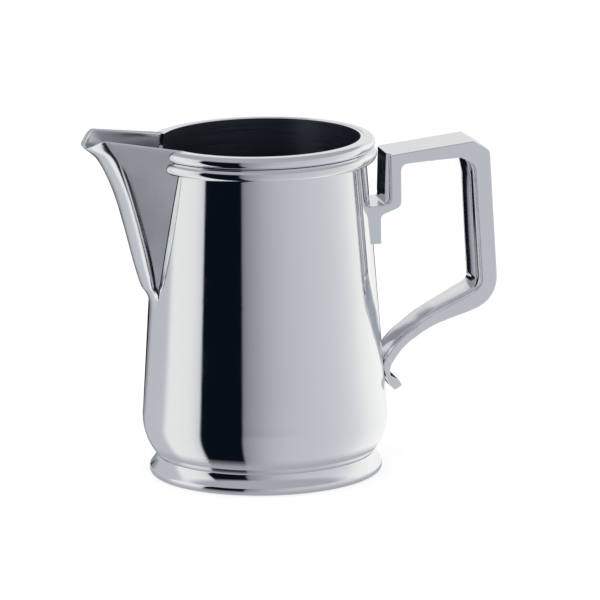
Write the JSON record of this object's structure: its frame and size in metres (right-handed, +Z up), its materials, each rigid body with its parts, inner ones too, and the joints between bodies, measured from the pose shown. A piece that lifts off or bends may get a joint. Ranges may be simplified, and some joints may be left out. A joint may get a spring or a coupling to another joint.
{
  "type": "cream jug",
  "caption": "Tapered metal cream jug on a foot ring, open at the top, with a wide pouring spout, double rim moulding and an angular cast handle.",
  "frame": {"origin": "on the surface the jug stands on, under the middle of its bounding box", "axes": "+Z up, +X from the spout towards the handle, so the jug is symmetric about Y = 0"},
  "size_m": [0.1162, 0.0686, 0.0979],
  "materials": {
    "body_silver": "mirror polished outside, satin inside",
    "base_silver": "satin",
    "foot_silver": "mirror polished",
    "rim_silver": "mirror polished",
    "spout_silver": "mirror polished outside, satin inside",
    "handle_silver": "polished casting"
  },
  "bodies": {
    "root": {"body_shell": "body_silver", "base_disc": "base_silver", "foot_ring": "foot_silver", "rim_wire_lower": "rim_silver", "rim_wire_upper": "rim_silver", "spout": "spout_silver", "handle": "handle_silver"}
  },
  "joints": []
}
